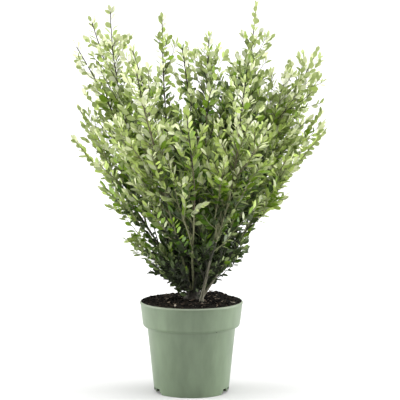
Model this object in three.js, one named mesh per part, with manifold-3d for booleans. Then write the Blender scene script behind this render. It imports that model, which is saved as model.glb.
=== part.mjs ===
// A potted Japanese holly: a small-leaved evergreen shrub of many upright shoots in a plastic nursery pot.
// Millimetres, +Z up, the viewer in front at -Y. The origin is the centre of the pot's flat underside.
import * as THREE from "three";
import { mergeVertices } from "three/addons/utils/BufferGeometryUtils.js";
import Module from "manifold-3d";

const wasm = await Module();
wasm.setup();

// Gap between neighbouring pieces where one sits on the other, and finish of the cut solids
const SEAT_GAP = 0.3;
const CUT_OVERRUN = 1;
const SLIVER = 0.05;
const WELD = 1e-4;

// Pot: a tapered body under a wider collar
const POT_HEIGHT = 168;
const RIM_RADIUS = 95;
const COLLAR_TOP_RADIUS = 94;
const COLLAR_FOOT_RADIUS = 89.5;
const COLLAR_FOOT_HEIGHT = 126;
const BODY_TOP_RADIUS = 81.5;
const BODY_TOP_HEIGHT = 119;
const BODY_FOOT_RADIUS = 68.5;
const POT_WALL = 1.8;
const RIM_WIDTH = 2.5;
const RIM_ROUND = 0.6;
const POT_SEGMENTS = 30;

// Pot foot: a flat middle on the ground, a raised channel round it, and a front and a back foot
const BASE_RADIUS = 48;
const BASE_THICKNESS = 2;
const CHANNEL_HEIGHT = 4;
const CHANNEL_SLOPE = 2;
const NOTCH_HEIGHT = 3.5;
const NOTCH_HALF_ANGLE = 37;
const NOTCH_ARC_STEPS = 10;
const DRAIN_ANGLES = [-28, -13, 13, 28];
const DRAIN_SLOT = { depth: 13, width: 13, height: 6.6, radius: 66, middle: 6.7 };

// Soil: level with the rim, flat round the stems, heaped at the back right
const SOIL_EDGE_DROP = 4;
const SOIL_TOP = 171.5;
const SOIL_FLAT_RADIUS = 46;
const SOIL_SHOULDERS = [
  { inwards: 0.3, rise: 0.5 },
  { inwards: 0.6, rise: 0.85 },
];
const SOIL_HEAP = { azimuth: 50, height: 6, radius: 68, width: 20 };

// Woody foot of the plant: a stool with root flare, and a paler stem in front of it
const TRUNK = { x: 2, y: 6, lean: 3, height: 24, flareRadius: 18, neckRadius: 11, lobes: 5 };
const FRONT_STEM = { x: 18, y: -30, lean: 1, height: 12, flareRadius: 5, neckRadius: 3.6, lobes: 3 };
const FOOT_SHAPE = {
  flareShare: 0.3,
  flareHeight: 0.2,
  neckHeight: 0.55,
  domeRadius: 0.78,
  domeHeight: 0.88,
};
const LOBE_DEPTH = 0.06;
const SIDES_PER_LOBE = 3;

// Where limbs start on their foot, as shares of its neck radius and height
const ROOT_SHARES = {
  trunk: { radius: 0.4, height: 0.5 },
  front_stem: { radius: 0.2, height: 0.55 },
  stool_top: { radius: 0.45, height: 0.8 },
  skirt: { radius: 0.4, height: 0.22 },
};
const RING_START = -15;

// Limbs and shoots
const BOUGH_BASE_RADIUS = 2.8;
const BOUGH_TIP_RADIUS = 2.1;
const BOUGH_SHARE = 0.19;
const BOUGH_SIDES = 6;
const BOUGH_STEPS = 4;
const SECTION_TURN = 0.4;
const NEAR_UPRIGHT = 0.999;
const VASE_BEND = 0.25;
const SKIRT_BEND = -0.12;
const LEADER_BASE_RADIUS = 2;
const LEADER_TIP_RADIUS = 1;
const LEADER_STEPS = 4;
const FORK_SHARES = [0, 0.12, 0.24, 0.36];
const FORK_PULL = 0.42;
const FORK_THINNING = 0.3;
const FULL_LEADER = 200;
const TWIG_SPACING = 74;
const TWIG_FIRST = 0.05;
const TWIG_LAST = 0.9;
const TWIG_LONG = 90;
const TWIG_SHORT = 40;
const TWIG_VARIATION = 0.2;
const TWIG_SHIFT = 0.6;
const TWIG_SPREAD = 42;
const TWIG_BEND = 0.55;
const TWIG_LIFT = 0.2;
const TWIG_TURNS = 4;
const TWIG_STEPS = 2;
const SHOOT_SIDES = 3;
const TWIG_GIRTH = 0.72;
const TWIG_TIP_RADIUS = 0.8;
const GOLDEN_ANGLE = Math.PI * (3 - Math.sqrt(5));
const SPRAY_SEED_STEP = 1000;
const LEADER_SEED_STEP = 100;

// Leaves, drawn larger than life because each stands for several
const LEAF_LENGTH = 61;
const LEAF_WIDTH = 39;
const LEAF_THICKNESS = 1.8;
const LEAF_WIDEST = 0.58;
const LEAF_THICKEST = 0.12;
const LEAF_SPREAD = 48;
const LEAF_SINK = 3;
const TIP_LEAF_SIZE = 0.41;
const SKIRT_LEAF_SIZE = 0.5;
const TWIG_LEAVES = 3;
const TWIG_LEAF_FIRST = 0.25;
const TWIG_LEAF_LAST = 0.95;
const LEADER_LEAF_SPACING = 85;
const LEADER_LEAF_FIRST = 0.3;
const LEADER_LEAF_LAST = 0.96;

// How each spray keeps to its own space
const SPACE_GAP = 2;
const LIMB_CLEARANCE = 1.2;
const LEAF_CLEARANCE = 25;
const LEADER_SAMPLES = 14;
const LIMB_SAMPLES = 10;
const TWIG_SAMPLES = 5;

// How far the crown reaches from its axis at some heights
const CROWN_AXIS_X = 10;
const CROWN_REACH = 252;
const CROWN_OUTLINE = [
  [192, 60],
  [235, 94],
  [280, 128],
  [340, 160],
  [400, 182],
  [470, 226],
  [520, CROWN_REACH],
  [740, CROWN_REACH],
];

// A leader is an upright shoot, given by the place of its tip: direction, reach and height.
// Directions are 0 right, 90 back, 180 left and 270 front.
// A spray is one mass of foliage. Its first leader grows on from its bough, and the others fork off it.
// The sprays on the trunk start round it in this order, and the skirt has no boughs.
const SPRAYS = [
  {
    name: "right_high",
    foot: "trunk",
    leaders: [[357, 231, 635], [8, 236, 588], [351, 176, 606], [27, 205, 556]],
  },
  { name: "back_right", foot: "trunk", leaders: [[58, 216, 600], [40, 205, 520], [74, 170, 470]] },
  { name: "back", foot: "trunk", leaders: [[92, 214, 640], [102, 190, 520]] },
  { name: "back_left", foot: "trunk", leaders: [[122, 216, 618], [149, 206, 540]] },
  { name: "left_high", foot: "trunk", leaders: [[168, 190, 690], [184, 214, 646], [203, 157, 710]] },
  {
    name: "left_low",
    foot: "trunk",
    leaders: [[171, 213, 528], [186, 220, 473], [176, 172, 374], [208, 188, 430]],
  },
  { name: "front_left", foot: "trunk", leaders: [[243, 210, 606], [226, 200, 520], [212, 126, 642]] },
  { name: "front", foot: "trunk", leaders: [[268, 214, 535], [258, 170, 420]] },
  { name: "front_right", foot: "front_stem", leaders: [[297, 212, 592], [314, 205, 505], [284, 165, 440]] },
  {
    name: "right_low",
    foot: "front_stem",
    leaders: [[6, 247, 524], [352, 248, 488], [346, 180, 368], [330, 196, 440]],
  },
  { name: "mid_left", foot: "stool_top", leaders: [[132, 82, 696], [160, 120, 610]] },
  { name: "centre", foot: "stool_top", leaders: [[292, 86, 666], [256, 80, 648]] },
  { name: "right_spire", foot: "stool_top", leaders: [[10, 122, 724], [40, 130, 620], [330, 120, 620]] },
  { name: "low_left", foot: "skirt", leaders: [[178, 128, 284], [190, 84, 221]] },
  { name: "low_front_left", foot: "skirt", leaders: [[228, 120, 285], [250, 100, 248]] },
  { name: "low_front_right", foot: "skirt", leaders: [[290, 118, 290], [312, 104, 255]] },
  { name: "low_right", foot: "skirt", leaders: [[356, 106, 272], [20, 116, 300]] },
  { name: "low_back_right", foot: "skirt", leaders: [[68, 120, 288], [48, 104, 252]] },
  { name: "low_back_left", foot: "skirt", leaders: [[112, 122, 284], [136, 106, 256]] },
];

const MATERIALS = {
  pot: { color: 0x8fa287, roughness: 0.55 },
  soil: { color: 0x2a2019, roughness: 0.95 },
  bark: { color: 0x6b6250, roughness: 0.85 },
  foliage: { color: 0x6f9440, roughness: 0.5 },
};

const UP = new THREE.Vector3(0, 0, 1);
const { lerp, degToRad } = THREE.MathUtils;

// A repeatable stream of numbers from 0 to 1.
function seededRandom(seed) {
  let state = seed >>> 0;
  return () => {
    state = (state + 0x6d2b79f5) >>> 0;
    let mixed = Math.imul(state ^ (state >>> 15), 1 | state);
    mixed = (mixed + Math.imul(mixed ^ (mixed >>> 7), 61 | mixed)) ^ mixed;
    return ((mixed ^ (mixed >>> 14)) >>> 0) / 4294967296;
  };
}

function polar(azimuth, reach, height) {
  const angle = degToRad(azimuth);
  return new THREE.Vector3(reach * Math.cos(angle), reach * Math.sin(angle), height);
}

// A closed geometry as a solid that can be joined and cut.
function solidOf(geometry) {
  geometry.deleteAttribute("normal");
  geometry.deleteAttribute("uv");
  const merged = mergeVertices(geometry, WELD);
  const mesh = new wasm.Mesh({
    numProp: 3,
    vertProperties: merged.attributes.position.array,
    triVerts: new Uint32Array(merged.index.array),
  });
  return new wasm.Manifold(mesh);
}

// The largest single piece of a solid, with no slivers, so that no scrap is left over from a cut.
function mainPiece(solid) {
  const pieces = solid.asOriginal().simplify(SLIVER).decompose();
  return pieces.reduce((best, piece) => (piece.volume() > best.volume() ? piece : best));
}

function namedMesh(name, solid, material) {
  const { numProp, numVert, vertProperties, triVerts } = solid.getMesh();
  const position = new Float32Array(numVert * 3);
  for (let i = 0; i < numVert; i++) {
    position.set(vertProperties.subarray(i * numProp, i * numProp + 3), i * 3);
  }
  const geometry = new THREE.BufferGeometry();
  geometry.setAttribute("position", new THREE.BufferAttribute(position, 3));
  geometry.setIndex(new THREE.BufferAttribute(new Uint32Array(triVerts), 1));
  geometry.computeVertexNormals();
  const mesh = new THREE.Mesh(geometry, material);
  mesh.name = name;
  return mesh;
}

// A solid of revolution about Z from [radius, height] pairs that start and end on the axis.
function turned(profile, segments) {
  const points = profile.map(([radius, height]) => new THREE.Vector2(radius, height));
  return new THREE.LatheGeometry(points, segments).rotateX(Math.PI / 2);
}

// Inside radius of the pot's wall at a height above its raised channel.
function potInside(height) {
  if (height <= BODY_TOP_HEIGHT) {
    return lerp(BODY_FOOT_RADIUS, BODY_TOP_RADIUS, height / BODY_TOP_HEIGHT) - POT_WALL;
  }
  const share = (height - COLLAR_FOOT_HEIGHT) / (POT_HEIGHT - SOIL_EDGE_DROP - COLLAR_FOOT_HEIGHT);
  return lerp(COLLAR_FOOT_RADIUS, COLLAR_TOP_RADIUS, share) - POT_WALL;
}

// The inside of the pot from its middle up to the collar's foot, drawn in by a clearance.
function potLining(clearance) {
  const floor = BASE_THICKNESS + clearance;
  const ledge = CHANNEL_HEIGHT + BASE_THICKNESS + clearance;
  return [
    [0, floor],
    [BASE_RADIUS - POT_WALL - clearance, floor],
    [BASE_RADIUS - POT_WALL + CHANNEL_SLOPE - clearance, ledge],
    [potInside(ledge) - clearance, ledge],
    [potInside(BODY_TOP_HEIGHT) - clearance, BODY_TOP_HEIGHT + POT_WALL],
    [COLLAR_FOOT_RADIUS - 2 * POT_WALL - clearance, COLLAR_FOOT_HEIGHT - POT_WALL],
    [potInside(COLLAR_FOOT_HEIGHT) - clearance, COLLAR_FOOT_HEIGHT + clearance],
  ];
}

function potSolid() {
  const outside = [
    [0, 0],
    [BASE_RADIUS, 0],
    [BASE_RADIUS + CHANNEL_SLOPE, CHANNEL_HEIGHT],
    [BODY_FOOT_RADIUS - POT_WALL, CHANNEL_HEIGHT],
    [BODY_FOOT_RADIUS - POT_WALL, 0],
    [BODY_FOOT_RADIUS, 0],
    [BODY_TOP_RADIUS, BODY_TOP_HEIGHT],
    [COLLAR_FOOT_RADIUS - POT_WALL, COLLAR_FOOT_HEIGHT - 2 * POT_WALL],
    [COLLAR_FOOT_RADIUS, COLLAR_FOOT_HEIGHT],
    [COLLAR_TOP_RADIUS, POT_HEIGHT - SOIL_EDGE_DROP],
    [RIM_RADIUS, POT_HEIGHT - POT_WALL],
    [RIM_RADIUS - RIM_ROUND, POT_HEIGHT],
    [RIM_RADIUS - RIM_WIDTH, POT_HEIGHT],
    [COLLAR_TOP_RADIUS - POT_WALL, POT_HEIGHT - SOIL_EDGE_DROP],
  ];
  let pot = solidOf(turned([...outside, ...potLining(0).reverse()], POT_SEGMENTS));
  for (const sideways of [0, 180]) {
    pot = pot.subtract(footNotch(sideways));
    for (const angle of DRAIN_ANGLES) {
      pot = pot.subtract(drainSlot(sideways + angle));
    }
  }
  return pot;
}

// The gap between the front foot and the back foot, on one side of the pot.
function footNotch(azimuth) {
  const half = degToRad(NOTCH_HALF_ANGLE);
  const sector = new THREE.Shape();
  sector.absarc(0, 0, BODY_FOOT_RADIUS + DRAIN_SLOT.width, -half, half, false);
  sector.absarc(0, 0, BODY_FOOT_RADIUS - DRAIN_SLOT.width, half, -half, true);
  const cutter = new THREE.ExtrudeGeometry(sector, {
    depth: NOTCH_HEIGHT + CUT_OVERRUN,
    bevelEnabled: false,
    curveSegments: NOTCH_ARC_STEPS,
  });
  return solidOf(cutter.translate(0, 0, -CUT_OVERRUN).rotateZ(degToRad(azimuth)));
}

// A drain slot through the corner where the wall meets the raised channel.
function drainSlot(azimuth) {
  const cutter = new THREE.BoxGeometry(DRAIN_SLOT.depth, DRAIN_SLOT.width, DRAIN_SLOT.height);
  return solidOf(cutter.translate(DRAIN_SLOT.radius, 0, DRAIN_SLOT.middle).rotateZ(degToRad(azimuth)));
}

function soilSolid() {
  const edge = POT_HEIGHT - SOIL_EDGE_DROP;
  const edgeRadius = potInside(edge) - SEAT_GAP;
  const shoulders = SOIL_SHOULDERS.map(({ inwards, rise }) => {
    return [lerp(edgeRadius, SOIL_FLAT_RADIUS, inwards), lerp(edge, SOIL_TOP, rise)];
  });
  const top = [[edgeRadius, edge], ...shoulders, [SOIL_FLAT_RADIUS, SOIL_TOP], [0, SOIL_TOP]];
  const geometry = turned([...potLining(SEAT_GAP), ...top], POT_SEGMENTS);
  heapSoil(geometry.attributes.position, edge);
  return solidOf(geometry);
}

// Raises the top of the soil on one side of the pot.
function heapSoil(position, edge) {
  const middle = polar(SOIL_HEAP.azimuth, SOIL_HEAP.radius, 0);
  for (let i = 0; i < position.count; i++) {
    const [x, y, z] = [position.getX(i), position.getY(i), position.getZ(i)];
    const radius = Math.hypot(x, y);
    if (z > edge + SEAT_GAP && radius > SOIL_FLAT_RADIUS + SEAT_GAP) {
      const away = Math.hypot(x - middle.x, y - middle.y) / SOIL_HEAP.width;
      position.setZ(i, z + SOIL_HEAP.height * Math.exp(-away * away));
    }
  }
}

// A lobed woody foot: flared at the soil, narrow at the neck, domed on top, and larger all round by grown.
function footSolid({ x, y, lean, height, flareRadius, neckRadius, lobes }, grown) {
  const { flareShare, flareHeight, neckHeight, domeRadius, domeHeight } = FOOT_SHAPE;
  const profile = [
    [0, -grown],
    [flareRadius + grown, -grown],
    [lerp(neckRadius, flareRadius, flareShare) + grown, height * flareHeight],
    [neckRadius + grown, height * neckHeight],
    [neckRadius * domeRadius + grown, height * domeHeight + grown],
    [0, height + grown],
  ];
  const geometry = turned(profile, SIDES_PER_LOBE * lobes);
  const position = geometry.attributes.position;
  for (let i = 0; i < position.count; i++) {
    const around = Math.atan2(position.getY(i), position.getX(i));
    const swell = 1 + LOBE_DEPTH * Math.cos(lobes * around);
    const shift = (lean * position.getZ(i)) / height;
    position.setX(i, position.getX(i) * swell + shift);
    position.setY(i, position.getY(i) * swell);
  }
  return solidOf(geometry.translate(x, y, SOIL_TOP + SEAT_GAP));
}

// Two directions square to a limb and to each other, steady along it.
function frameOf(tangent) {
  const hint = Math.abs(tangent.z) > NEAR_UPRIGHT ? new THREE.Vector3(1, 0, 0) : UP;
  const side = new THREE.Vector3().crossVectors(tangent, hint).normalize();
  const over = new THREE.Vector3().crossVectors(side, tangent);
  return { side, over };
}

// A limb that tapers along a curve, closed at both ends.
function limbSolid(curve, startRadius, endRadius, sides, steps) {
  const geometry = new THREE.CylinderGeometry(1, 1, 1, sides, steps).rotateY(SECTION_TURN);
  const position = geometry.attributes.position;
  for (let i = 0; i < position.count; i++) {
    const along = position.getY(i) + 0.5;
    const radius = lerp(startRadius, endRadius, along);
    const { side, over } = frameOf(curve.getTangent(along));
    const at = curve.getPoint(along);
    at.addScaledVector(side, radius * position.getX(i)).addScaledVector(over, radius * position.getZ(i));
    position.setXYZ(i, at.x, at.y, at.z);
  }
  return solidOf(geometry);
}

function boughSolid(curve, grown) {
  return limbSolid(curve, BOUGH_BASE_RADIUS + grown, BOUGH_TIP_RADIUS + grown, BOUGH_SIDES, BOUGH_STEPS);
}

// A leaf: an octahedron drawn out to a blade that is widest beyond its middle and thickest near its root.
function leafSolid(leaf) {
  const geometry = new THREE.OctahedronGeometry(1);
  const position = geometry.attributes.position;
  const blade = new THREE.Matrix4().makeBasis(leaf.direction, leaf.across, leaf.facing);
  blade.setPosition(leaf.root);
  const point = new THREE.Vector3();
  for (let i = 0; i < position.count; i++) {
    point.fromBufferAttribute(position, i);
    const middle = point.z === 0 ? LEAF_WIDEST : LEAF_THICKEST;
    const along = point.x === 0 ? middle : (point.x + 1) / 2;
    point.set(along * LEAF_LENGTH, (point.y * LEAF_WIDTH) / 2, (point.z * LEAF_THICKNESS) / 2);
    point.multiplyScalar(leaf.size).applyMatrix4(blade);
    position.setXYZ(i, point.x, point.y, point.z);
  }
  return solidOf(geometry);
}

// A direction that leans away from a limb's own direction, towards one side of it.
function leaning(tangent, around, spread) {
  const { side, over } = frameOf(tangent);
  const angle = degToRad(spread);
  return tangent
    .clone()
    .multiplyScalar(Math.cos(angle))
    .addScaledVector(side, Math.sin(angle) * Math.cos(around))
    .addScaledVector(over, Math.sin(angle) * Math.sin(around));
}

// A leader from its root to its tip. A positive bend spreads it low down, a negative one lifts it first.
function vaseCurve(root, tip, bend) {
  const level = 0.5 + bend;
  const control = new THREE.Vector3(
    lerp(root.x, tip.x, level),
    lerp(root.y, tip.y, level),
    lerp(root.z, tip.z, 1 - level),
  );
  return new THREE.QuadraticBezierCurve3(root, control, tip);
}

// The two parts of a curve before and after a share of it, with a gap between them.
function splitCurve(curve, share) {
  const at = curve.getPoint(share);
  const lower = new THREE.QuadraticBezierCurve3(curve.v0, curve.v0.clone().lerp(curve.v1, share), at);
  const start = at.clone().addScaledVector(curve.getTangent(share), SEAT_GAP);
  const upper = new THREE.QuadraticBezierCurve3(start, curve.v1.clone().lerp(curve.v2, share), curve.v2);
  return [lower, upper];
}

// A leader that leaves another one along its direction and bends to its own tip.
function forkCurve(parent, share, tip) {
  const start = parent.getPoint(share);
  const pull = FORK_PULL * start.distanceTo(tip);
  const control = start.clone().addScaledVector(parent.getTangent(share), pull);
  return new THREE.QuadraticBezierCurve3(start, control, tip);
}

// A leader drawn back from its tip by the length of the leaf that ends it.
function drawnBack(curve) {
  const back = curve.v1.clone().sub(curve.v2).normalize();
  const end = curve.v2.clone().addScaledVector(back, TIP_LEAF_SIZE * LEAF_LENGTH - LEAF_SINK);
  return new THREE.QuadraticBezierCurve3(curve.v0, curve.v1, end);
}

// Where a spray's first leader leaves its woody foot.
function sprayRoot(spray, index) {
  const { x, y, height, neckRadius } = spray.foot === "front_stem" ? FRONT_STEM : TRUNK;
  const shares = ROOT_SHARES[spray.foot];
  const ring = SPRAYS.filter(({ foot }) => foot === "trunk");
  const [tipAzimuth] = spray.leaders[0];
  const azimuth = spray.foot === "trunk" ? RING_START + (360 * index) / ring.length : tipAzimuth;
  const point = polar(azimuth, neckRadius * shares.radius, SOIL_TOP + height * shares.height);
  return point.add(new THREE.Vector3(x, y, 0));
}

// Each spray's bough, if it has one, and the curves of its leaders.
function laidOut(spray, index) {
  const tips = spray.leaders.map((leader) => polar(...leader));
  const isSkirt = spray.foot === "skirt";
  const bend = isSkirt ? SKIRT_BEND : VASE_BEND * (1 - spray.leaders[0][1] / CROWN_REACH);
  const whole = vaseCurve(sprayRoot(spray, index), tips[0], bend);
  const [bough, first] = isSkirt ? [null, whole] : splitCurve(whole, BOUGH_SHARE);
  const curves = tips.map((tip, i) => (i === 0 ? first : forkCurve(first, FORK_SHARES[i], tip)));
  const leaders = curves.map(drawnBack);
  const samples = curves.flatMap((curve) => curve.getPoints(LEADER_SAMPLES));
  return { ...spray, seed: SPRAY_SEED_STEP * (index + 1), bough, leaders, samples };
}

// The twigs of one leader: alternate shoots that climb round it and turn up, shorter towards its tip.
// Each takes the first turn about the leader that keeps it to its space, or is left out.
function twigsOf(leader, seed, isFree) {
  const vigour = Math.min(1, leader.getLength() / FULL_LEADER);
  const spacing = TWIG_SPACING * Math.sqrt(vigour);
  const count = Math.max(1, Math.round((leader.getLength() * (TWIG_LAST - TWIG_FIRST)) / spacing));
  const twigs = [];
  for (let k = 0; k < count; k++) {
    const random = seededRandom(seed + k);
    const along = lerp(TWIG_FIRST, TWIG_LAST, (k + TWIG_SHIFT * random()) / count);
    const around = k * GOLDEN_ANGLE + random();
    const variation = lerp(1 - TWIG_VARIATION, 1 + TWIG_VARIATION, random());
    const length = vigour * variation * lerp(TWIG_LONG, TWIG_SHORT, along);
    for (let turn = 0; turn < TWIG_TURNS; turn++) {
      const twig = twigCurve(leader, along, around + (turn * 2 * Math.PI) / TWIG_TURNS, length);
      if (isFree(twig.getPoints(TWIG_SAMPLES).slice(1))) {
        twigs.push({ twig, along });
        break;
      }
    }
  }
  return twigs;
}

function twigCurve(leader, along, around, length) {
  const start = leader.getPoint(along);
  const direction = leaning(leader.getTangent(along), around, TWIG_SPREAD);
  const bend = start.clone().addScaledVector(direction, TWIG_BEND * length);
  const tip = start.clone().addScaledVector(direction, length).addScaledVector(UP, TWIG_LIFT * length);
  return new THREE.QuadraticBezierCurve3(start, bend, tip);
}

// One leaf on a shoot. Its upper face looks towards the shoot's tip, or sideways where it ends the shoot.
function leafOn(shoot, along, around, size) {
  const tangent = shoot.getTangent(along);
  const isTip = along === 1;
  const direction = isTip ? tangent.clone() : leaning(tangent, around, LEAF_SPREAD);
  const towardsTip = tangent.clone().projectOnPlane(direction).normalize();
  const facing = isTip ? leaning(tangent, around, 90) : towardsTip;
  const across = new THREE.Vector3().crossVectors(facing, direction);
  const root = shoot.getPoint(along).addScaledVector(direction, isTip ? -LEAF_SINK : 0);
  return { root, direction, across, facing, size };
}

// Points on a leaf, its middle first, that tell whether it keeps to its space.
function leafPoints({ root, direction, across, size }) {
  const tip = root.clone().addScaledVector(direction, size * LEAF_LENGTH);
  const middle = root.clone().addScaledVector(direction, size * LEAF_WIDEST * LEAF_LENGTH);
  const halfWidth = (size * LEAF_WIDTH) / 2;
  const edges = [-halfWidth, halfWidth].map((offset) => middle.clone().addScaledVector(across, offset));
  return [middle, root.clone().lerp(middle, 0.5), tip, ...edges];
}

function nearest(point, samples) {
  return Math.min(...samples.map((sample) => sample.distanceTo(point)));
}

// Whether a point lies inside the crown's outline.
function inCrown(point) {
  const reach = Math.hypot(point.x - CROWN_AXIS_X, point.y);
  const next = CROWN_OUTLINE.findIndex(([height]) => height > point.z);
  if (next < 1) return false;
  const [[lowHeight, lowReach], [highHeight, highReach]] = CROWN_OUTLINE.slice(next - 1, next + 1);
  return reach <= lerp(lowReach, highReach, (point.z - lowHeight) / (highHeight - lowHeight));
}

// Whether points lie nearer to their own spray than to any other, in the crown and clear of the limbs.
function keepsToSpace(points, spray, layout) {
  const others = layout.filter((other) => other !== spray);
  return points.every((point) => {
    const own = nearest(point, spray.samples);
    const isOwn = others.every((other) => nearest(point, other.samples) > own + SPACE_GAP);
    return isOwn && inCrown(point) && clearOfLimbs(point, layout);
  });
}

function clearOfLimbs(point, layout) {
  const boughs = layout.filter(({ bough }) => bough);
  const free = boughs.every(({ bough }) => {
    return nearest(point, bough.getPoints(LIMB_SAMPLES)) > BOUGH_BASE_RADIUS + LIMB_CLEARANCE;
  });
  const above = point.z > SOIL_TOP + TRUNK.height + LIMB_CLEARANCE;
  return free && (above || Math.hypot(point.x - TRUNK.x, point.y - TRUNK.y) > TRUNK.flareRadius);
}

// One mass of foliage: leaders, the twigs on them and the leaves on both, fused.
function spraySolid(spray, layout) {
  const solids = [];
  const middles = [];
  const isFree = (points) => keepsToSpace(points, spray, layout);
  const addLeaf = (shoot, along, around, size) => {
    const leaf = leafOn(shoot, along, around, size);
    const points = leafPoints(leaf);
    const isApart = middles.every((middle) => middle.distanceTo(points[0]) > LEAF_CLEARANCE);
    if (isApart && isFree(points)) {
      solids.push(leafSolid(leaf));
      middles.push(points[0]);
    }
  };
  const innerSize = spray.bough ? 1 : SKIRT_LEAF_SIZE;
  spray.leaders.forEach((leader, i) => {
    const baseRadius = LEADER_BASE_RADIUS - FORK_THINNING * i;
    solids.push(limbSolid(leader, baseRadius, LEADER_TIP_RADIUS, SHOOT_SIDES, LEADER_STEPS));
    solids.push(leafSolid(leafOn(leader, 1, i, TIP_LEAF_SIZE)));
    const leafCount = Math.floor(leader.getLength() / LEADER_LEAF_SPACING);
    for (let k = 1; k <= leafCount; k++) {
      const along = lerp(LEADER_LEAF_FIRST, LEADER_LEAF_LAST, k / (leafCount + 1));
      addLeaf(leader, along, k * GOLDEN_ANGLE, lerp(innerSize, TIP_LEAF_SIZE, along));
    }
    for (const { twig, along } of twigsOf(leader, spray.seed + LEADER_SEED_STEP * i, isFree)) {
      const size = lerp(innerSize, TIP_LEAF_SIZE, along);
      const girth = TWIG_GIRTH * lerp(baseRadius, LEADER_TIP_RADIUS, along);
      solids.push(limbSolid(twig, girth, TWIG_TIP_RADIUS, SHOOT_SIDES, TWIG_STEPS));
      addLeaf(twig, 1, along, size);
      for (let n = 1; n <= TWIG_LEAVES; n++) {
        const place = lerp(TWIG_LEAF_FIRST, TWIG_LEAF_LAST, n / (TWIG_LEAVES + 1));
        addLeaf(twig, place, (along + n) * GOLDEN_ANGLE, size);
      }
    }
  });
  return wasm.Manifold.union(solids);
}

function build() {
  const materials = {};
  for (const [name, look] of Object.entries(MATERIALS)) {
    materials[name] = new THREE.MeshStandardMaterial({ ...look, metalness: 0 });
  }
  const plant = new THREE.Group();
  plant.add(namedMesh("pot", potSolid(), materials.pot));
  plant.add(namedMesh("soil", soilSolid(), materials.soil));
  plant.add(namedMesh("trunk", footSolid(TRUNK, 0), materials.bark));
  plant.add(namedMesh("front_stem", footSolid(FRONT_STEM, 0), materials.bark));

  const layout = SPRAYS.map(laidOut);
  let wood = footSolid(TRUNK, SEAT_GAP).add(footSolid(FRONT_STEM, SEAT_GAP));
  for (const { name, bough } of layout.filter((spray) => spray.bough)) {
    const limb = boughSolid(bough, 0);
    plant.add(namedMesh(`bough_${name}`, mainPiece(limb.subtract(wood)), materials.bark));
    wood = wood.add(boughSolid(bough, SEAT_GAP));
  }
  for (const spray of layout) {
    const foliage = spraySolid(spray, layout);
    const seated = spray.bough ? foliage : foliage.subtract(wood);
    plant.add(namedMesh(`foliage_${spray.name}`, mainPiece(seated), materials.foliage));
  }
  return plant;
}

export default build();
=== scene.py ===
"""A potted Japanese holly: leaves, twigs, bark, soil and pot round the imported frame.

Sizes are in millimetres, as the plant is drawn, and turn into metres where a mesh is made.
+Z is up and the viewer stands in front, at -Y.
"""
import math
from collections import namedtuple

import bpy
import numpy as np
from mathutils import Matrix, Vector, noise


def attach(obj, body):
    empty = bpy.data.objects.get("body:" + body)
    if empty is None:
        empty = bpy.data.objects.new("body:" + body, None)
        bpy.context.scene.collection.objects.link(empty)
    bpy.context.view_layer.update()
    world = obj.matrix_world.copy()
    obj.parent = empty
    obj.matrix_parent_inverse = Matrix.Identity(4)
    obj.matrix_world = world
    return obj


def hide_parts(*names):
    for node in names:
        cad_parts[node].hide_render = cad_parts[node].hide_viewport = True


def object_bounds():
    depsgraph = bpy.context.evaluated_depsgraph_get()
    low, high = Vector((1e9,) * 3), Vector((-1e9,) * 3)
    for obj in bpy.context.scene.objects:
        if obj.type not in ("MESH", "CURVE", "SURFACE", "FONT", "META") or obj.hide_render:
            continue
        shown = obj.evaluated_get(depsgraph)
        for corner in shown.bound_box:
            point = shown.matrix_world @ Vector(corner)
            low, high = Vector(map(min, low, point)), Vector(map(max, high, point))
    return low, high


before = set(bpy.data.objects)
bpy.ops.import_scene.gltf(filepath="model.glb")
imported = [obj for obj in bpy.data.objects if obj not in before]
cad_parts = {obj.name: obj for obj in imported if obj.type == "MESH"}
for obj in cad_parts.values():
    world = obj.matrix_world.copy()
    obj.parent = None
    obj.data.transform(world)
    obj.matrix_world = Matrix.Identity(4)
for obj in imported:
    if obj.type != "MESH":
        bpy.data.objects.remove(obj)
cad_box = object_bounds()

MM = 0.001
BOX_LOW, BOX_HIGH = (np.array(corner) / MM for corner in cad_box)
UP = np.array([0.0, 0.0, 1.0])
GOLDEN_ANGLE = math.pi * (3 - math.sqrt(5))
NEAR_UPRIGHT = 0.999
CLOUD_DETAIL = 6
GRAIN_DETAIL = 4
RELIEF_DEPTH = 0.5
CRUMB_SEED = 5
GROWTH_SEED = 1000
LEAF_SEED = 7000

# Camera
CAMERA_AIM = (15.7, 0, 354)
CAMERA_DISTANCE = 3500
CAMERA_PITCH = 6.4
FRAME_WIDTH = 731
SENSOR_WIDTH = 36
FLOOR_REACH = 400000

# Pot: a tapered body under a wider collar
POT_HEIGHT = 168
RIM_RADIUS = 95
COLLAR_TOP_RADIUS = 94
COLLAR_FOOT_RADIUS = 89.5
COLLAR_FOOT_HEIGHT = 126
BODY_TOP_RADIUS = 81.5
BODY_TOP_HEIGHT = 122
BODY_FOOT_RADIUS = 68.5
POT_WALL = 1.8
RIM_WIDTH = 2.5
POT_SEGMENTS = 180
BASE_RADIUS = 48
BASE_THICKNESS = 2
CHANNEL_HEIGHT = 4
CHANNEL_SLOPE = 2
NOTCH_HEIGHT = 3.5
NOTCH_FLOOR = -1
NOTCH_HALF_ANGLE = 37
NOTCH_ARC_STEPS = 24
DRAIN_ANGLES = (-28, -13, 13, 28)
DRAIN_SLOT = {"depth": 13, "width": 13, "height": 6.6, "radius": 66, "middle": 6.7}
CORNER_STEPS = 4
BODY_CORNERS = {"base": 0.6, "foot": 0.7, "top": 3}
COLLAR_CORNERS = {"ledge": 1, "foot": 1.6, "bead": 0.3, "rim": 0.4, "lip": 0.2}
RIM_DEPTH = 4
BEAD_SLOPE = 0.6
LIP_SHARE = 0.8
POT_SHARPNESS = 28

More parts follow.
